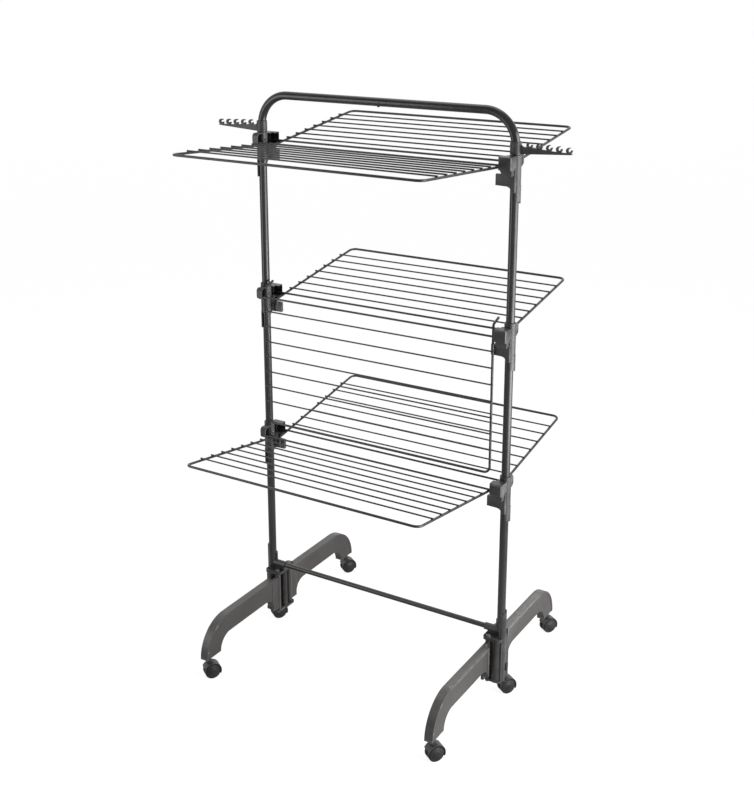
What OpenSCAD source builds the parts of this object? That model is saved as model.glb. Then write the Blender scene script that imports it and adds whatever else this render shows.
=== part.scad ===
// Three-tier clothes drying rack on casters: two steel posts joined by a
// bent top rail, six swinging wire wings, two hook arms for hangers, four
// folding legs and six twin-wheel casters. X runs across the rack, -Y is the
// front, Z is up, and the origin is on the floor midway between the posts.

/* [Frame] */
// Distance between the two post centres
post_span = 680; // [660:5:720]
// Outside diameter of the post and top rail tube
tube_d = 20; // [19:0.5:21]
// Wall thickness of the tube
tube_wall = 1; // [0.8:0.1:1.5]
// Height of the top rail centre line above the floor
rail_z = 1433; // [1420:1:1480]
// Centre-line radius of the two top bends
bend_r = 75; // [60:1:90]
// Height of the stretcher bar centre above the floor
stretcher_z = 178.6; // [176:0.2:182]
// Diameter of the stretcher bar
stretcher_d = 12.6; // [11:0.2:14]

/* [Tiers] */
// Height of the lowest pair of wings
tier_low = 549.6; // [520:0.2:600]
// Height of the middle pair of wings
tier_mid = 924; // [900:1:960]
// Height of the top pair of wings
tier_top = 1313.3; // [1290:0.1:1313.3]

/* [Wings] */
// Distance of each wing axle in front of or behind the post centre
pivot_y = 29.4; // [29:0.2:31]
// Length of a wing from its axle to its outer bar
wing_l = 335.6; // [310:0.4:345]
// Diameter of the wing frame wire
wire_d = 6; // [5:0.2:6.2]
// Diameter of the rungs
rung_d = 3.8; // [2.6:0.1:4]
// Diameter of the wing axle
axle_d = 5; // [4:0.2:5]
// Number of rungs between the axle and the outer bar
rungs = 7; // [4:1:7]
// Distance between two rungs
rung_pitch = 40; // [30:1:40]

/* [Legs] */
// Distance from the middle of a leg pair to its tip
leg_l = 338; // [325:1:342]
// Height of the top edge of the legs
leg_top = 148; // [140:1:149]
// Width of the leg channel
leg_w = 21; // [18:0.5:22]
// Wall thickness of the leg channel
leg_wall = 2.5; // [2:0.1:3]

/* [Casters] */
// Diameter of the caster wheels
wheel_d = 40; // [36:1:40]
// Direction the casters trail, turned about the vertical
caster_turn = -34; // [-180:1:180]
// Trail of the wheel axle behind the caster stem
trail = 7; // [4:0.5:8]

/* [Hook arms] */
// Length of a hook arm from the post centre to its tip
arm_l = 130; // [125:1:140]
// Number of hooks on an arm
hooks = 5; // [3:1:5]

/* [Hidden] */

px = post_span / 2;
fit = 0.05;                       // radial running clearance
seam_z = tier_mid + 6;            // where upper and lower tubes meet
foot_z = 46;                      // lower end of the posts
wire_n = -(axle_d + wire_d) / 2 + 0.1;      // frame wire below the axle centre
rung_n = wire_n + (wire_d + rung_d) / 2 - 0.2;
rail_near = px - 20;              // side wire of a wing next to its short bracket end
rail_far = px - 30.5;             // side wire of a wing next to its long bracket end
axle_end = px + 4.2;              // half length of a wing axle
tail_a = 27;                      // first leg of the catch tail
tail_b = 28;                      // second leg of the catch tail
leg_x = px - 20;                  // centre plane of the leg channels
hinge_x = px - 25.5;              // leg hinge axis
leg_y0 = 11;                      // middle of each leg pair
hinge_u = 26;                     // hinge axis from the middle of a leg pair
barrel_d = 14.8;                  // hinge barrel of a leg
stem_u = leg_l - 18;              // caster stem from the middle of a leg pair
mid_x = px + 5;                   // middle caster stem
mid_y = 16;
stem_d = 8;
TIERS = [tier_low, tier_mid, tier_top];
ax_z = -wire_n;                   // axle height above the tier height

// Every wing: tier height, side (-1 front, +1 back), angle above horizontal
function wing_tilt(t, s) =
  t == 2 ? (s < 0 ? 3.7 : 7.4) : t == 1 ? (s < 0 ? -90 : 9.2) : (s < 0 ? 8.2 : 10.1);

// ------------------------------------------------------------------ helpers
module zrod(d, z0, z1, fn = 64) translate([0, 0, z0]) cylinder(d = d, h = z1 - z0, $fn = fn);
module xrod(d, x0, x1, fn = 48) translate([x0, 0, 0]) rotate([0, 90, 0]) cylinder(d = d, h = x1 - x0, $fn = fn);
module yrod(d, y0, y1, fn = 48) translate([0, y0, 0]) rotate([-90, 0, 0]) cylinder(d = d, h = y1 - y0, $fn = fn);
module span(x0, x1, y0, y1, z0, z1) translate([x0, y0, z0]) cube([x1 - x0, y1 - y0, z1 - z0]);
// flat plate with round corners, seen from above
module plate(x0, x1, y0, y1, z0, z1, r) translate([0, 0, z0]) linear_extrude(z1 - z0) union() {
  translate([x0 + r, y0]) square([x1 - x0 - 2 * r, y1 - y0]);
  translate([x0, y0 + r]) square([x1 - x0, y1 - y0 - 2 * r]);
  for (x = [x0 + r, x1 - r], y = [y0 + r, y1 - r]) translate([x, y]) circle(r = r, $fn = 48);
}

// ------------------------------------------------------------------ tubes
module top_half(d) {
  zc = rail_z - bend_r;
  translate([px, 0, seam_z]) cylinder(d = d, h = zc - seam_z, $fn = 64);
  translate([px - bend_r, 0, zc]) rotate([90, 0, 0])
    rotate_extrude(angle = 90, $fn = 96) translate([bend_r, 0]) circle(d = d, $fn = 64);
  translate([0, 0, rail_z]) xrod(d, 0, px - bend_r, 64);
}
module pin_holes() {
  for (z = TIERS) translate([px, 0, z - 12]) yrod(4.1, -14, 14, 32);
}
module top_tube() color("#4b4a4c") difference() {
  top_half(tube_d);
  translate([0, 0, -0.5]) translate([px, 0, seam_z]) cylinder(d = tube_d - 2 * tube_wall, h = rail_z - bend_r - seam_z + 0.5, $fn = 64);
  translate([px - bend_r, 0, rail_z - bend_r]) rotate([90, 0, 0])
    rotate_extrude(angle = 90, $fn = 96) translate([bend_r, 0]) circle(d = tube_d - 2 * tube_wall, $fn = 64);
  translate([0, 0, rail_z]) xrod(tube_d - 2 * tube_wall, -0.5, px - bend_r, 64);
  pin_holes();
}
module top_tube_right() top_tube();
module top_tube_left() mirror([1, 0, 0]) top_tube();
module top_joiner() color("#3a3a3c") translate([0, 0, rail_z]) difference() {
  xrod(tube_d - 2 * tube_wall - 2 * fit, -45, 45, 64);
  xrod(tube_d - 2 * tube_wall - 2.4, -46, 46, 64);
}
module lower_tube() color("#3f3e40") difference() {
  translate([px, 0, 0]) zrod(tube_d, foot_z, seam_z);
  translate([px, 0, 0]) zrod(tube_d - 2 * tube_wall, foot_z - 1, seam_z + 1);
  pin_holes();
  translate([px, 0, stretcher_z]) xrod(stretcher_d + 2 * fit, -20, 0, 48);
}
module lower_tube_right() lower_tube();
module lower_tube_left() mirror([1, 0, 0]) lower_tube();
module coupler() color("#3a3a3c") difference() {
  translate([px, 0, 0]) zrod(tube_d - 2 * tube_wall - 2 * fit, seam_z - 60, seam_z + 50);
  translate([px, 0, 0]) zrod(tube_d - 2 * tube_wall - 2.4, seam_z - 61, seam_z + 51);
  pin_holes();
}
module post_coupler_right() coupler();
module post_coupler_left() mirror([1, 0, 0]) coupler();
module stretcher_bar() color("#39393b") translate([0, 0, stretcher_z])
  difference() {
    xrod(stretcher_d, -(px - 4), px - 4, 48);
    xrod(stretcher_d - 2, -px, px, 48);
  }
module bracket_pins() color("#8d8e90")
  for (s = [-1, 1], z = TIERS) translate([s * px, 0, z - 12]) yrod(4, -12, 12, 32);

// ------------------------------------------------------------------ tier brackets
// One moulding: sleeve on the post, a long hood over the axle of the near
// wing, a shorter bearing box for the axle of the far wing, and a catch lug
// for its wire tail. up is the top of the sleeve above the tier height.
module bracket(up) color("#454446") difference() {
  union() {
    zrod(27, -42, up);
    difference() {
      union() {
        // long hood: a box open towards the rack and towards the post
        difference() {
          intersection() {
            rotate([90, 0, 90]) plate(-41, -4, -4.4, 25.5, -23, 8.4, 5);
            plate(-23, 8.4, -41, -1, -6, 27, 4);
            span(-24, 9, -42, -9, -7, 28);
          }
          span(-24, 5.6, -38.6, -8, -1.9, 23);
        }
        // chin under the hood
        translate([0, -20.2, 0]) rotate([90, 0, 0]) linear_extrude(13.8)
          polygon([[-22, -3], [7, -3], [7, -17], [-15, -17]]);
        // catch lug with a round fillet below
        translate([0, -12.5, 0]) rotate([90, 0, 0]) linear_extrude(7.8)
          difference() {
            polygon([[-37, -15.5], [9, -15.5], [9, -54], [-11, -54], [-11, -41.4], [-37, -40.6]]);
            translate([-11, -53.5]) circle(r = 12, $fn = 64);
          }
      }
      // room for the swinging catch tail of the far wing
      translate([0, pivot_y, ax_z]) xrod(104, -24.5, -15.5, 128);
    }
    // bearing boss of the near wing
    translate([0, -pivot_y, ax_z]) xrod(10.5, -2, 8);
    span(-2, 8, -pivot_y - 1.5, -pivot_y + 1.5, -3, 24);
    // short bearing box
    difference() {
      translate([-11, 0, 0]) rotate([90, 0, 90]) linear_extrude(15.6)
        polygon([[9, -2], [27, -2], [34.6, 5], [34.6, 22], [29.5, 27.6], [9, 27.6]]);
      translate([-12, 0, 0]) rotate([90, 0, 90]) linear_extrude(14.2)
        polygon([[4, 0.4], [26, 0.4], [32.2, 6], [32.2, 21], [28.6, 25.2], [4, 25.2]]);
    }
    translate([0, pivot_y, ax_z]) xrod(10.5, -5, 4);
    // web behind the lug
    span(-13, 9, -20, -8, -40, 0);
    // guard strip down the outside of the post
    intersection() {
      zrod(28.4, -82, -40);
      span(6, 16, -13, 13, -83, -39);
      translate([0, 0, -78]) rotate([-21, 0, 0]) span(0, 20, -30, 30, 0, 64);
    }
  }
  zrod(tube_d + 2 * fit, -90, 60);
  // axle bores
  translate([0, -pivot_y, ax_z]) xrod(axle_d + 2 * fit, -30, 6.5);
  translate([0, pivot_y, ax_z]) xrod(axle_d + 2 * fit, -30, 6.5);
  translate([0, 0, -12]) yrod(4 + 2 * fit, -12.05, 12.05, 32);
}
module bracket_right(z, up) translate([px, 0, z]) bracket(up);
module bracket_left(z, up) rotate([0, 0, 180]) bracket_right(z, up);
module bracket_top_right() bracket_right(tier_top, 26);
module bracket_top_left() bracket_left(tier_top, 26);
module bracket_mid_right() bracket_right(tier_mid, 35);
module bracket_mid_left() bracket_left(tier_mid, 35);
module bracket_low_right() bracket_right(tier_low, 35);
module bracket_low_left() bracket_left(tier_low, 35);

// ------------------------------------------------------------------ wings
// A wing lies in its own frame: axle along X, +Y outward, +Z up. The side
// wires run past the axle and bend down into the catch tails.
module wire(l) zrod(wire_d, 0, l, 32);
module wing_frame_local() {
  r = 16;
  xn = -rail_near; xf = rail_far;
  translate([0, 0, wire_n]) {
    for (x = [xn, xf]) {
      translate([x, -tail_a + 5, 0]) rotate([-90, 0, 0]) wire(wing_l + tail_a - 5 - r);
      // bend and second leg of the tail, with a thin collar over each joint
      translate([x, -tail_a + 5, -7]) rotate([0, -90, 0]) rotate([0, 0, -70])
        rotate_extrude(angle = 70, $fn = 64) translate([7, 0]) circle(d = wire_d, $fn = 32);
      translate([x, -tail_a + 5, 0]) rotate([-90, 0, 0]) translate([0, 0, -0.5]) cylinder(d = wire_d + 0.12, h = 1, $fn = 48);
      translate([x, -tail_a + 5 - 7 * sin(70), -7 + 7 * cos(70)]) rotate([180 - 20, 0, 0]) {
        wire(tail_b - 5);
        translate([0, 0, -0.5]) cylinder(d = wire_d + 0.12, h = 1, $fn = 48);
      }
    }
    translate([xn + r, wing_l, 0]) rotate([0, 90, 0]) wire(xf - xn - 2 * r);
    translate([xn + r, wing_l - r, 0]) rotate([0, 0, 90]) rotate_extrude(angle = 90, $fn = 96)
      translate([r, 0]) circle(d = wire_d, $fn = 32);
    translate([xf - r, wing_l - r, 0]) rotate_extrude(angle = 90, $fn = 96)
      translate([r, 0]) circle(d = wire_d, $fn = 32);
  }
}
module wing_rungs_local() {
  xrod(axle_d, -axle_end, axle_end, 48);
  for (i = [0 : rungs - 1]) translate([0, 36 + i * rung_pitch, rung_n])
    xrod(rung_d, -rail_near - 3.4, rail_far + 3.4, 32);
}
// side +1 is the back wing, -1 the front wing (turned half round)
module place_wing(t, side) translate([0, side * pivot_y, TIERS[t] + ax_z])
  rotate([0, 0, side > 0 ? 0 : 180]) mirror([1, 0, 0]) rotate([wing_tilt(t, side), 0, 0]) children();
module wing_frame(t, side) color("#3c3b3d") place_wing(t, side) wing_frame_local();
module wing_rungs(t, side) color("#444345") place_wing(t, side) wing_rungs_local();
module wing_top_front_frame() wing_frame(2, -1);
module wing_top_front_rungs() wing_rungs(2, -1);
module wing_top_back_frame() wing_frame(2, 1);
module wing_top_back_rungs() wing_rungs(2, 1);
module wing_mid_front_frame() wing_frame(1, -1);
module wing_mid_front_rungs() wing_rungs(1, -1);
module wing_mid_back_frame() wing_frame(1, 1);
module wing_mid_back_rungs() wing_rungs(1, 1);
module wing_low_front_frame() wing_frame(0, -1);
module wing_low_front_rungs() wing_rungs(0, -1);
module wing_low_back_frame() wing_frame(0, 1);
module wing_low_back_rungs() wing_rungs(0, 1);

// ------------------------------------------------------------------ hook arms
// The bar tapers towards its tip and carries a row of open rings. open turns
// the gap of the rings.
module hook_arm(open) color("#4c4b4d") {
  z0 = tier_top + 28.2;
  difference() {
    union() {
      translate([px, 0, 0]) zrod(25.6, z0, z0 + 27);
      translate([0, 2.5, 0]) rotate([90, 0, 0]) linear_extrude(5)
        polygon([[px + 8, z0 + 0.4], [px + 8, z0 + 22.5], [px + 13.5, z0 + 20.5], [px + 18, z0 + 16.7],
                 [px + 42, z0 + 15.3], [px + 65, z0 + 14], [px + 88, z0 + 12.1], [px + arm_l - 4, z0 + 10.8],
                 [px + arm_l + 1, z0 + 10], [px + arm_l + 1.4, z0 + 8.6], [px + arm_l - 2, z0 + 7.7]]);
      for (i = [0 : hooks - 1])
        translate([px + 32.5 + i * 22.9, 3, z0 + 20.9 - i * 1.15]) rotate([90, 0, 0]) linear_extrude(6) difference() {
          circle(d = 14, $fn = 64);
          translate([open * 0.6, 0.2]) circle(d = 6.2, $fn = 48);
          rotate(open > 0 ? 22 : 0) translate([open > 0 ? 0 : -9, -0.4]) square([9, 4.6]);
        }
    }
    // the bore opens out where the tube starts to bend
    translate([px, 0, 0]) zrod(tube_d + 0.2, z0 - 1, z0 + 40);
    translate([px, 0, 0]) zrod(tube_d + 2.2, z0 + 13, z0 + 40);
  }
}
module hook_arm_right() hook_arm(1);
module hook_arm_left() mirror([1, 0, 0]) hook_arm(-1);

// ------------------------------------------------------------------ base blocks
// One moulding per side: sleeve on the post, rounded boss beside it, cap and
// floor plates that hold the leg hinges, a pillar between the two legs, the
// socket of the stretcher bar and the socket of the middle caster.
module cap_shape(g, z0, z1) {
  plate(px - 38 - g, px + 10 + g, -25 - g, 20 + g, z0, z1, 9 + g);
  plate(px - 38 - g, px - 12 + g, 0 - g, 49 + g, z0, z1, 9 + g);
}
module base_block() color("#403f41") difference() {
  union() {
    translate([px, 0, 0]) zrod(27, 44, 164);
    // guard strip outside, cut off at a slant, and a low collar inside
    translate([px, 0, 0]) intersection() {
      zrod(26.6, 160, 233);
      span(1, 16, -12, 12, 160, 233);
      translate([0, -10, 213]) rotate([24, 0, 0]) span(-20, 20, -30, 60, -70, 12);
    }
    translate([px, 0, 0]) intersection() {
      zrod(27, 160, 206);
      span(-14, 6, 0, 14, 160, 206);
    }
    // rounded boss in front of the sleeve
    translate([px - 5.5, -11, 0]) zrod(24, 44, 157);
    span(px - 10, px + 10, -16, 0, 44, 157);
    // cap plate with a raised rim, and floor plate
    cap_shape(0, 156, 161.5);
    difference() {
      cap_shape(0, 161, 163.5);
      cap_shape(-2, 160.5, 165);
    }
    plate(px - 33, px + 11, -22, 20, 44, 50, 8);
    plate(px - 36, px - 12, 4, 48, 44, 50, 8);
    // pillar between the legs, tied back to the sleeve
    translate([hinge_x, 13, 0]) zrod(17, 49, 157);
    span(hinge_x, px, 6, 18, 49, 157);
    span(px - 8, px + 12, 0, 22, 49, 157);
    // stretcher socket on its rib
    translate([0, 0, stretcher_z]) xrod(stretcher_d + 5.2, px - 42, px - 5, 64);
    span(px - 34, px, -4, 4, 160, stretcher_z);
    // middle caster socket
    translate([mid_x, mid_y, 0]) zrod(18, 44, 78);
    // side tab low on the outside
    translate([px, 0, 0]) span(9, 17.5, 3, 11, 70, 88);
  }
  translate([px, 0, 0]) zrod(tube_d + 2 * fit, foot_z, 300);
  translate([0, 0, stretcher_z]) xrod(stretcher_d + 2 * fit, px - 50, px, 48);
  translate([mid_x, mid_y, 0]) zrod(stem_d + 2 * fit, 40, 72, 48);
  for (s = [-1, 1]) translate([hinge_x, leg_y0 + s * hinge_u, 0]) zrod(8.1, 40, 170, 48);
}
module base_block_right() base_block();
module base_block_left() mirror([1, 0, 0]) base_block();
module leg_bolts() color("#77787a")
  for (m = [0, 1]) mirror([m, 0, 0])
    for (s = [-1, 1]) translate([hinge_x, leg_y0 + s * hinge_u, 0]) {
      zrod(8, 42, 162, 48);
      zrod(14, 161.5, 163.5, 48);
      // domed head
      translate([0, 0, 163.4]) intersection() {
        translate([0, 0, -4.2]) sphere(d = 17, $fn = 64);
        zrod(12.4, 0, 5, 48);
      }
      zrod(12, 40.5, 44, 6);
    }

// ------------------------------------------------------------------ legs
// Leg in its own frame: u along +Y from the middle of the pair, X across,
// X = 0 on the channel's centre plane, the hinge side towards -X.
module leg_side(t) {
  // t shrinks the outline on the top and the tip
  difference() {
    union() {
      translate([52 + t, 56]) square([leg_l - 91 - 52 - t, leg_top - 56 - t]);
      intersection() {
        translate([leg_l - 91, 57]) circle(r = 91 - t, $fn = 128);
        translate([leg_l - 91, 57]) square([91, 91]);
      }
    }
    if (t == 0) {
      translate([88, 50]) square([leg_l - 96 - 88, 46.5]);
      translate([88, 60]) circle(r = 36.5, $fn = 96);
      translate([leg_l - 96, 57]) circle(r = 39.5, $fn = 96);
      translate([52, 40]) square([leg_l - 96 - 52 + 39.4, 17.02]);
    }
  }
}
module leg() color("#58575a") difference() {
  union() {
    difference() {
      rotate([90, 0, 90]) translate([0, 0, -leg_w / 2]) linear_extrude(leg_w) leg_side(0);
      rotate([90, 0, 90]) translate([0, 0, -leg_w / 2 + leg_wall]) linear_extrude(leg_w - 2 * leg_wall)
        difference() {
          leg_side(leg_wall);
          translate([leg_l - 58, 50]) square([60, 11]);
          intersection() {
            translate([leg_l - 96, 57]) circle(r = 42, $fn = 96);
            translate([leg_l - 78, 40]) square([60, 60]);
          }
        }
      // the channel stays open below, all the way to the foot
      span(-leg_w / 2 + leg_wall, leg_w / 2 - leg_wall, 52 + leg_wall, leg_l - 78, 40, 92);
    }
    // hinge barrel and the web that joins it to the channel
    translate([hinge_x - leg_x, hinge_u, 0]) zrod(barrel_d, 51, 155);
    span(-leg_w / 2, hinge_x - leg_x + 2, hinge_u, 53.5, 56, leg_top);
    // stiffening ribs across the channel
    for (u = [120, 180, 236]) span(-leg_w / 2 + 1, leg_w / 2 - 1, u, u + 2, 112, leg_top - 1);
    // caster socket
    translate([0, stem_u, 0]) zrod(15, 57.5, 100);
  }
  // shallow side panels leave a raised rim along the top and the tip
  for (m = [0, 1]) mirror([m, 0, 0]) rotate([90, 0, 90]) translate([0, 0, leg_w / 2 - 0.7]) linear_extrude(2) leg_side(6.5);
  translate([hinge_x - leg_x, hinge_u, 0]) zrod(8.1 + 0.1, 40, 160, 48);
  translate([0, stem_u, 0]) zrod(stem_d + 2 * fit, 50, 94, 48);
}
// sx +1 right, -1 left; sy +1 back, -1 front
module place_leg(sx, sy) translate([sx * leg_x, leg_y0, 0])
  mirror([sx > 0 ? 0 : 1, 0, 0]) mirror([0, sy > 0 ? 0 : 1, 0]) children();
module leg_front_left() place_leg(-1, -1) leg();
module leg_front_right() place_leg(1, -1) leg();
module leg_back_left() place_leg(-1, 1) leg();
module leg_back_right() place_leg(1, 1) leg();

// ------------------------------------------------------------------ casters
// Caster frame: stem on the Z axis, wheels trail towards +Y, axle along X.
// top is the upper end of the stem, neck the top of the thicker collar
module caster_fork(top, neck) color("#4a4a4c") {
  wr = wheel_d / 2;
  difference() {
    union() {
      // stem and its shoulder
      zrod(stem_d, 40.9, top, 48);
      zrod(13, 40.9, neck, 48);
      // hood over the wheels
      translate([0, trail, wr]) difference() {
        xrod(2 * wr + 5.6, -12, 12, 96);
        xrod(2 * wr + 1.6, -14, 14, 96);
        // open below and behind
        rotate([-25, 0, 0]) span(-20, 20, -40, 40, -40, 0);
      }
      // web between the two wheels
      translate([0, trail, wr]) xrod(2 * wr - 5, -2.5, 2.5, 96);
      span(-2.5, 2.5, -6, trail + 8, wr + 4, 41);
    }
    translate([0, trail, wr]) xrod(4.1, -15, 15, 48);
  }
}
module caster_wheels() color("#38383a") {
  wr = wheel_d / 2;
  translate([0, trail, wr]) {
    xrod(4, -6, 6, 48);
    for (m = [0, 1]) mirror([m, 0, 0]) {
      xrod(2 * wr, 3, 10.6, 96);
      xrod(2 * wr - 5, 10.4, 12, 96);
    }
  }
}
module place_caster(sx, p) translate([sx * (p == 0 ? mid_x : leg_x), p == 0 ? mid_y : leg_y0 + p * stem_u, 0])
  rotate([0, 0, caster_turn]) children();
module caster_fork_front_left() place_caster(-1, -1) caster_fork(90, 56.6);
module caster_wheels_front_left() place_caster(-1, -1) caster_wheels();
module caster_fork_front_right() place_caster(1, -1) caster_fork(90, 56.6);
module caster_wheels_front_right() place_caster(1, -1) caster_wheels();
module caster_fork_back_left() place_caster(-1, 1) caster_fork(90, 56.6);
module caster_wheels_back_left() place_caster(-1, 1) caster_wheels();
module caster_fork_back_right() place_caster(1, 1) caster_fork(90, 56.6);
module caster_wheels_back_right() place_caster(1, 1) caster_wheels();
module caster_fork_mid_left() place_caster(-1, 0) caster_fork(70, 43.6);
module caster_wheels_mid_left() place_caster(-1, 0) caster_wheels();
module caster_fork_mid_right() place_caster(1, 0) caster_fork(70, 43.6);
module caster_wheels_mid_right() place_caster(1, 0) caster_wheels();

top_tube_left();
top_tube_right();
top_joiner();
lower_tube_left();
lower_tube_right();
post_coupler_left();
post_coupler_right();
bracket_top_left();
bracket_top_right();
bracket_mid_left();
bracket_mid_right();
bracket_low_left();
bracket_low_right();
bracket_pins();
base_block_left();
base_block_right();
stretcher_bar();
leg_bolts();
wing_top_front_frame();
wing_top_front_rungs();
wing_top_back_frame();
wing_top_back_rungs();
wing_mid_front_frame();
wing_mid_front_rungs();
wing_mid_back_frame();
wing_mid_back_rungs();
wing_low_front_frame();
wing_low_front_rungs();
wing_low_back_frame();
wing_low_back_rungs();
hook_arm_left();
hook_arm_right();
leg_front_left();
leg_front_right();
leg_back_left();
leg_back_right();
caster_fork_front_left();
caster_wheels_front_left();
caster_fork_front_right();
caster_wheels_front_right();
caster_fork_back_left();
caster_wheels_back_left();
caster_fork_back_right();
caster_wheels_back_right();
caster_fork_mid_left();
caster_wheels_mid_left();
caster_fork_mid_right();
caster_wheels_mid_right();
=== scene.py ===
import math

import bmesh
import bpy
from mathutils import Matrix, Vector


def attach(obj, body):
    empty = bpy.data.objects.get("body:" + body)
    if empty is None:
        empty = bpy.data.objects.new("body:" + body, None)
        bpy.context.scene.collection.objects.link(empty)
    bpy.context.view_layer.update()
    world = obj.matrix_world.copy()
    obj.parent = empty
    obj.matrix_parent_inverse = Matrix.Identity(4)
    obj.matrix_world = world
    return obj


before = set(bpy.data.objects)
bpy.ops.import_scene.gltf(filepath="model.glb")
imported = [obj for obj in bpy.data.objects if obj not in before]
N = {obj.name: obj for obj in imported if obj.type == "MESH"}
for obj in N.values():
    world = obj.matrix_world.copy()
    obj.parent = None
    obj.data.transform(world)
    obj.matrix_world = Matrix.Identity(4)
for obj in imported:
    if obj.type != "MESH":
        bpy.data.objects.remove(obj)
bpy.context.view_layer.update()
D = bpy.data


# ------------------------------------------------------------------ materials
def node_mat(name, base, light=None, rough=0.4, rough_var=0.08, spec=0.5, ior=1.45,
             grain=1400.0, bump=0.12, bump_mm=0.05, cloud=14.0, var=0.25,
             streak=(1.0, 1.0, 1.0), wear_and_edge_highlight=0.0, wear_and_highlight_col=(0.3, 0.3, 0.3), coat=0.0, metallic=0.0, dust=0.0):
    """Procedural surface: cloudy colour variation, fine grain bump, uneven
    roughness, lighter edges that are partly worn paint and partly a painted edge highlight, and a little dust on
    faces that look up."""
    m = D.materials.new(name)
    m.use_nodes = True
    t = m.node_tree
    t.nodes.clear()
    out = t.nodes.new("ShaderNodeOutputMaterial")
    b = t.nodes.new("ShaderNodeBsdfPrincipled")
    t.links.new(b.outputs["BSDF"], out.inputs["Surface"])
    b.inputs["IOR"].default_value = ior
    b.inputs["Specular IOR Level"].default_value = spec
    b.inputs["Metallic"].default_value = metallic
    b.inputs["Coat Weight"].default_value = coat
    b.inputs["Coat Roughness"].default_value = 0.2
    tc = t.nodes.new("ShaderNodeTexCoord")
    mp = t.nodes.new("ShaderNodeMapping")
    mp.inputs["Scale"].default_value = streak
    t.links.new(tc.outputs["Object"], mp.inputs["Vector"])

    def noise(scale, detail, src, rough_n=0.55):
        n = t.nodes.new("ShaderNodeTexNoise")
        n.inputs["Scale"].default_value = scale
        n.inputs["Detail"].default_value = detail
        n.inputs["Roughness"].default_value = rough_n
        t.links.new(src, n.inputs["Vector"])
        return n.outputs["Fac"]

    def ramp(src, a, bb, lo, hi):
        r = t.nodes.new("ShaderNodeMapRange")
        r.inputs["From Min"].default_value = a
        r.inputs["From Max"].default_value = bb
        r.inputs["To Min"].default_value = lo
        r.inputs["To Max"].default_value = hi
        t.links.new(src, r.inputs["Value"])
        return r.outputs["Result"]

    def mix(fac, c1, c2):
        x = t.nodes.new("ShaderNodeMix")
        x.data_type = "RGBA"
        if isinstance(fac, float):
            x.inputs[0].default_value = fac
        else:
            t.links.new(fac, x.inputs[0])
        for sock, c in ((x.inputs[6], c1), (x.inputs[7], c2)):
            if isinstance(c, tuple):
                sock.default_value = (c[0], c[1], c[2], 1.0)
            else:
                t.links.new(c, sock)
        return x.outputs[2]

    big = noise(cloud, 4.0, mp.outputs["Vector"])
    mid = noise(cloud * 9.0, 3.0, mp.outputs["Vector"])
    fine = noise(grain, 2.0, tc.outputs["Object"], 0.6)
    lightc = light or tuple(min(1.0, c * (1.0 + 2.2 * var) + 0.004) for c in base)
    dark = tuple(c * (1.0 - var) for c in base)
    col = mix(ramp(big, 0.35, 0.68, 0.0, 1.0), dark, lightc)
    col = mix(ramp(mid, 0.45, 0.75, 0.0, 0.45), col, base)
    if dust > 0.0:
        geo = t.nodes.new("ShaderNodeNewGeometry")
        sep = t.nodes.new("ShaderNodeSeparateXYZ")
        t.links.new(geo.outputs["Normal"], sep.inputs["Vector"])
        up = ramp(sep.outputs["Z"], 0.55, 1.0, 0.0, dust)
        mul = t.nodes.new("ShaderNodeMath"); mul.operation = "MULTIPLY"
        t.links.new(up, mul.inputs[0]); t.links.new(ramp(mid, 0.3, 0.7, 0.4, 1.0), mul.inputs[1])
        col = mix(mul.outputs[0], col, (0.42, 0.41, 0.40))
    # lighter edges from pointiness: partly worn paint, partly a painted highlight along the rounded edges
    if wear_and_edge_highlight > 0.0:
        g2 = t.nodes.new("ShaderNodeNewGeometry")
        edge = ramp(g2.outputs["Pointiness"], 0.515, 0.58, 0.0, wear_and_edge_highlight)
        mu = t.nodes.new("ShaderNodeMath"); mu.operation = "MULTIPLY"
        t.links.new(edge, mu.inputs[0]); t.links.new(ramp(mid, 0.35, 0.65, 0.45, 1.0), mu.inputs[1])
        col = mix(mu.outputs[0], col, wear_and_highlight_col)
    t.links.new(col, b.inputs["Base Color"])
    t.links.new(ramp(mid, 0.25, 0.75, rough - rough_var, rough + rough_var), b.inputs["Roughness"])
    bp = t.nodes.new("ShaderNodeBump")
    bp.inputs["Strength"].default_value = bump
    bp.inputs["Distance"].default_value = bump_mm / 1000.0
    t.links.new(fine, bp.inputs["Height"])
    t.links.new(bp.outputs["Normal"], b.inputs["Normal"])
    return m


# the edge lightening set below is partly wear and partly a painted highlight on rounded edges
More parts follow.
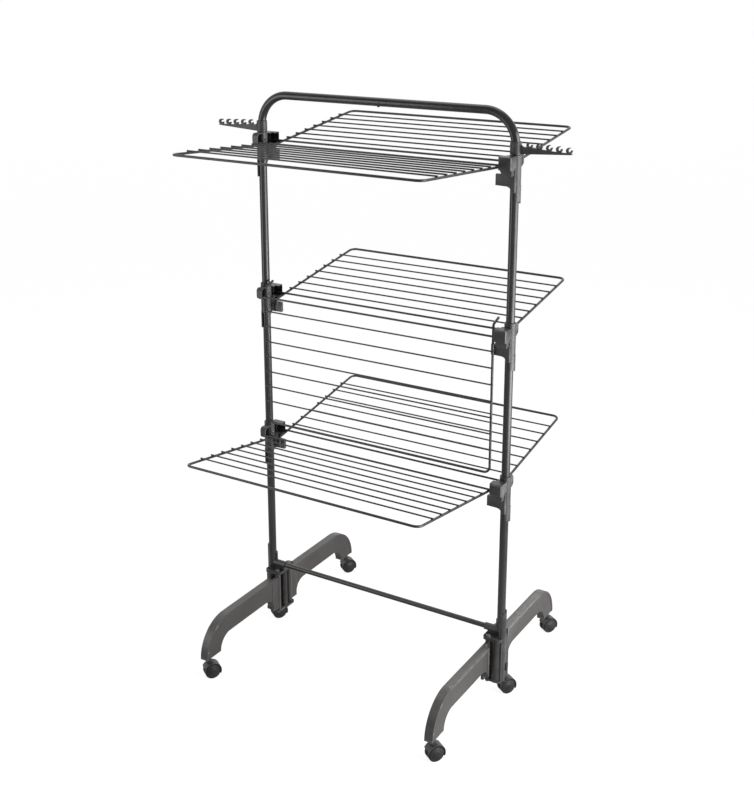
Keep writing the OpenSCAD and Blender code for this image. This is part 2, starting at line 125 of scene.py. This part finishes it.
M = {
    "tube": node_mat("tube_powder_coat", (0.013, 0.0127, 0.0133), rough=0.20, rough_var=0.05, grain=2200, bump=0.35, bump_mm=0.06,
                     streak=(1, 1, 0.25), cloud=18, var=0.2, dust=0.05),
    "bar": node_mat("bar_powder_coat", (0.013, 0.0128, 0.013), rough=0.26, grain=2200, bump=0.3, streak=(0.25, 1, 1), dust=0.05),
    "wire": node_mat("wire_coating", (0.012, 0.0117, 0.0125), rough=0.28, grain=2600, bump=0.25, cloud=30, dust=0.04),
    "rung": node_mat("rung_coating", (0.013, 0.0128, 0.0135), rough=0.3, grain=2600, bump=0.25, cloud=30, dust=0.04),
    "bracket": node_mat("bracket_moulding", (0.016, 0.0156, 0.016), rough=0.37, grain=1500, bump=0.3, bump_mm=0.08, cloud=35, wear_and_edge_highlight=0.5, wear_and_highlight_col=(0.13, 0.13, 0.133), dust=0.06),
    "base": node_mat("base_moulding", (0.017, 0.0166, 0.0166), rough=0.38, grain=1500, bump=0.3, bump_mm=0.08, cloud=35, wear_and_edge_highlight=0.5, wear_and_highlight_col=(0.13, 0.13, 0.13), dust=0.06),
    "leg": node_mat("leg_moulding", (0.0315, 0.0290, 0.0278), rough=0.36, rough_var=0.05, grain=1300, bump=0.3, bump_mm=0.1,
                    streak=(1, 0.5, 0.5), cloud=16, var=0.08, wear_and_edge_highlight=0.5, wear_and_highlight_col=(0.17, 0.165, 0.16), dust=0.06),
    "hook": node_mat("hook_moulding", (0.020, 0.0195, 0.020), rough=0.42, grain=1500, bump=0.3, cloud=40, wear_and_edge_highlight=0.3, wear_and_highlight_col=(0.10, 0.10, 0.10), dust=0.05),
    "fork": node_mat("caster_hood", (0.013, 0.0128, 0.013), rough=0.38, grain=1500, bump=0.25, cloud=40, wear_and_edge_highlight=0.3, wear_and_highlight_col=(0.10, 0.10, 0.10), dust=0.05),
    "wheel": node_mat("caster_wheel", (0.007, 0.0069, 0.0070), rough=0.46, spec=0.38, grain=1800, bump=0.3, cloud=40, wear_and_edge_highlight=0.25, wear_and_highlight_col=(0.12, 0.12, 0.12), dust=0.04),
    "steel": node_mat("inner_steel", (0.45, 0.45, 0.46), rough=0.32, metallic=1.0, grain=900, bump=0.15, streak=(1, 1, 0.1)),
    "bolt": node_mat("bolt_black_zinc", (0.07, 0.07, 0.072), rough=0.35, metallic=0.6, grain=1600, bump=0.2, wear_and_edge_highlight=0.4, wear_and_highlight_col=(0.3, 0.3, 0.3)),
}


def mat_for(n):
    if n.startswith(("top_tube", "lower_tube")): return "tube"
    if n == "stretcher_bar": return "bar"
    if n.startswith(("top_joiner", "post_coupler", "bracket_pins")): return "steel"
    if n.startswith("leg_bolts"): return "bolt"
    if n.startswith("bracket_"): return "bracket"
    if n.startswith("base_block"): return "base"
    if n.startswith("wing_"): return "wire" if n.endswith("_frame") else "rung"
    if n.startswith("hook_arm"): return "hook"
    if n.startswith("leg_"): return "leg"
    if n.startswith("caster_fork"): return "fork"
    return "wheel"


def soften(o, width, seg=2, angle=32.0):
    """Small moulded radius on every sharp edge, flat faces kept flat."""
    w = o.modifiers.new("weld", "WELD")
    w.merge_threshold = 0.00001
    b = o.modifiers.new("round", "BEVEL")
    b.width = width
    b.segments = seg
    b.limit_method = "ANGLE"
    b.angle_limit = math.radians(angle)
    b.use_clamp_overlap = True
    n = o.modifiers.new("normals", "WEIGHTED_NORMAL")
    n.mode = "FACE_AREA"
    n.weight = 60
    n.keep_sharp = False
    return b


for name, o in N.items():
    key = mat_for(name)
    o.data.materials.clear()
    o.data.materials.append(M[key])
    for p in o.data.polygons:
        p.material_index = 0
    if key in ("bracket", "base"):
        soften(o, 0.0013, 3)
    elif key == "leg":
        soften(o, 0.0013, 3)
    elif key in ("hook", "fork"):
        soften(o, 0.0006)
    elif key == "wheel":
        soften(o, 0.0012, 3)

# ------------------------------------------------------------------ small pieces
PX, PIV, AXZ = 0.340, 0.0294, 0.0054
TIERS = {"low": 0.5496, "mid": 0.924, "top": 1.3133}
TILT = {("top", -1): 3.7, ("top", 1): 7.4, ("mid", -1): -90.0, ("mid", 1): 9.2, ("low", -1): 8.2, ("low", 1): 10.1}


def lathe(bm, profile, mat, n=20):
    """Turned surface: profile is (radius, height) from bottom to top."""
    rings = []
    for r, h in profile:
        if r < 1e-7:
            rings.append([bm.verts.new(mat @ Vector((0, 0, h)))])
        else:
            rings.append([bm.verts.new(mat @ Vector((r * math.cos(2 * math.pi * i / n), r * math.sin(2 * math.pi * i / n), h))) for i in range(n)])
    for lo, hi in zip(rings, rings[1:]):
        for i in range(n):
            j = (i + 1) % n
            if len(lo) == 1 and len(hi) == 1:
                continue
            if len(lo) == 1:
                bm.faces.new((lo[0], hi[j], hi[i]))
            elif len(hi) == 1:
                bm.faces.new((lo[i], lo[j], hi[0]))
            else:
                bm.faces.new((lo[i], lo[j], hi[j], hi[i]))


def add_piece(name, bm, mat, body, smooth=True):
    bmesh.ops.recalc_face_normals(bm, faces=bm.faces)
    me = D.meshes.new(name)
    bm.to_mesh(me)
    bm.free()
    for p in me.polygons:
        p.use_smooth = smooth
    me.materials.append(mat)
    o = D.objects.new(name, me)
    bpy.context.scene.collection.objects.link(o)
    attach(o, body)
    return o


def axis_mat(pos, direction):
    d = Vector(direction).normalized()
    return Matrix.Translation(Vector(pos)) @ d.to_track_quat("Z", "Y").to_matrix().to_4x4()


# weld beads where each rung crosses the side wires
for (tier, s), tilt in TILT.items():
    bm = bmesh.new()
    t = math.radians(tilt)
    for k in range(7):
        for x in (-(PX - 0.020), PX - 0.0305):
            v, nn = 0.036 + 0.040 * k, -0.0026
            y = v * math.cos(t) - nn * math.sin(t)
            z = v * math.sin(t) + nn * math.cos(t)
            pos = Vector(((-x if s > 0 else x), s * (PIV + y), TIERS[tier] + AXZ + z))
            wob = 1.0 + 0.13 * math.sin(7.3 * k + 31.0 * x + 2.0 * s)
            m = Matrix.Translation(pos) @ Matrix.Rotation(s * t, 4, "X")
            prof = [(0.0, -0.0016), (0.0014 * wob, -0.0012), (0.0025 * wob, -0.0003), (0.0025, 0.0006), (0.0015, 0.0013), (0.0, 0.0016 * wob)]
            lathe(bm, prof, m, 12)
    add_piece("weld_beads_%s_%s" % (tier, "back" if s > 0 else "front"), bm, M["wire"],
              "wing_%s_%s" % (tier, "back" if s > 0 else "front"))

# rivet and washer on the inner face of every bracket sleeve
bm = bmesh.new()
for tier, z in TIERS.items():
    for sx in (-1, 1):
        pos = (sx * (PX - 0.0131), sx * 0.0035, z + 0.0085)
        m = axis_mat(pos, (-sx, sx * 0.12, 0.0))
        lathe(bm, [(0.0040, -0.001), (0.0040, 0.0005), (0.0036, 0.0010), (0.0022, 0.0011), (0.0021, 0.0019), (0.0014, 0.0025), (0.0, 0.0026)], m, 24)
add_piece("bracket_rivets", bm, M["bolt"], "frame")

# seam ring and locking button of the top rail
bm = bmesh.new()
m = axis_mat((0.0, 0.0, 1.433), (1, 0, 0))
lathe(bm, [(0.00985, -0.0011), (0.01012, -0.0008), (0.01018, 0.0), (0.01012, 0.0008), (0.00985, 0.0011)], m, 48)
m = axis_mat((-0.006, -0.0030, 1.433 - 0.0093), (0, -0.3, -1))
lathe(bm, [(0.0036, -0.001), (0.0035, 0.0008), (0.0027, 0.0019), (0.0013, 0.0025), (0.0, 0.0026)], m, 24)
add_piece("rail_seam_button", bm, M["tube"], "frame")

# hub discs with a raised centre on both faces of every caster
for tag, x, y in (("front_left", -0.320, -0.309), ("front_right", 0.320, -0.309), ("back_left", -0.320, 0.331),
                  ("back_right", 0.320, 0.331), ("mid_left", -0.345, 0.016), ("mid_right", 0.345, 0.016)):
    a = math.radians(-34)
    c = Vector((x - 0.007 * math.sin(a), y + 0.007 * math.cos(a), 0.020))
    d = Vector((math.cos(a), math.sin(a), 0.0))
    bm = bmesh.new()
    for sg in (-1, 1):
        m = axis_mat(c + d * sg * 0.0118, d * sg)
        lathe(bm, [(0.0150, -0.0003), (0.0148, 0.0006), (0.0138, 0.0009), (0.0085, 0.0007), (0.0080, 0.0011), (0.0052, 0.0014), (0.0, 0.0016)], m, 40)
    add_piece("hub_discs_" + tag, bm, M["wheel"], "wheels_" + tag)

# ------------------------------------------------------------------ stage
scene = bpy.context.scene


def plane(name, w, h, z):
    me = D.meshes.new(name)
    me.from_pydata([(-w, -h, z), (w, -h, z), (w, h, z), (-w, h, z)], [], [(0, 1, 2, 3)])
    o = D.objects.new(name, me)
    scene.collection.objects.link(o)
    return o


floor = plane("studio_floor", 30, 30, 0.0)
fm = D.materials.new("studio_floor")
fm.use_nodes = True
ft = fm.node_tree
fb = ft.nodes["Principled BSDF"]
fb.inputs["Base Color"].default_value = (0.12, 0.12, 0.12, 1)
fb.inputs["Roughness"].default_value = 0.9
fb.inputs["Specular IOR Level"].default_value = 0.1
fb.inputs["Emission Color"].default_value = (1, 1, 1, 1)
# the sweep reads white to the camera and dimmer in reflections
fl = ft.nodes.new("ShaderNodeLightPath")
fx = ft.nodes.new("ShaderNodeMix")
fx.data_type = "FLOAT"
fx.inputs[2].default_value = 0.45
fx.inputs[3].default_value = 0.885
ft.links.new(fl.outputs["Is Camera Ray"], fx.inputs[0])
ft.links.new(fx.outputs[0], fb.inputs["Emission Strength"])
floor.data.materials.append(fm)

# white behind the rack, dimmer round the camera, as in a studio sweep
world = D.worlds.new("studio")
scene.world = world
world.use_nodes = True
wt = world.node_tree
bg = wt.nodes["Background"]
tc = wt.nodes.new("ShaderNodeTexCoord")
dot = wt.nodes.new("ShaderNodeVectorMath")
dot.operation = "DOT_PRODUCT"
dot.inputs[1].default_value = (-0.515, 0.857, 0.0)
wt.links.new(tc.outputs["Generated"], dot.inputs[0])
mr = wt.nodes.new("ShaderNodeMapRange")
mr.interpolation_type = "SMOOTHSTEP"
mr.inputs["From Min"].default_value = -0.25
mr.inputs["From Max"].default_value = 0.55
mr.inputs["To Min"].default_value = 0.42
mr.inputs["To Max"].default_value = 1.15
wt.links.new(dot.outputs["Value"], mr.inputs["Value"])
lp = wt.nodes.new("ShaderNodeLightPath")
mx = wt.nodes.new("ShaderNodeMix")
mx.data_type = "FLOAT"
wt.links.new(lp.outputs["Is Camera Ray"], mx.inputs[0])
wt.links.new(mr.outputs["Result"], mx.inputs[2])
mx.inputs[3].default_value = 1.0
bg.inputs["Color"].default_value = (1, 1, 1, 1)
wt.links.new(mx.outputs[0], bg.inputs["Strength"])


def area(name, loc, target, size, size_y, radiance):
    l = D.lights.new(name, "AREA")
    l.shape = "RECTANGLE"
    l.size = size
    l.size_y = size_y
    l.energy = radiance * math.pi * size * size_y
    o = D.objects.new(name, l)
    o.location = loc
    o.rotation_euler = (Vector(target) - Vector(loc)).to_track_quat("-Z", "Y").to_euler()
    scene.collection.objects.link(o)
    return o


area("key_right", (1.75, 0.25, 0.95), (0.2, 0.05, 0.7), 1.7, 1.9, 6.6)
area("low_right", (1.25, -0.2, 0.42), (0.33, -0.1, 0.1), 1.0, 0.7, 4.6)
area("soft_left", (-1.45, -1.75, 1.1), (-0.1, 0, 0.8), 1.1, 1.8, 3.0)
area("top_soft", (-0.2, 0.5, 3.0), (0, 0, 0.7), 1.6, 1.6, 1.2)

cam = D.cameras.new("photo_camera")
cam.sensor_width = 36.0
cam.sensor_fit = "AUTO"
cam.lens = 54.77
cam.shift_x = 0.0
cam.shift_y = -0.125
cam.clip_start = 0.05
cam_o = D.objects.new("photo_camera", cam)
cam_o.location = (1.44113, -2.40521, 1.75375)
cam_o.rotation_euler = (math.radians(90 - 15.76), 0, math.radians(31.13))
scene.collection.objects.link(cam_o)
scene.camera = cam_o
scene.view_settings.view_transform = "Standard"
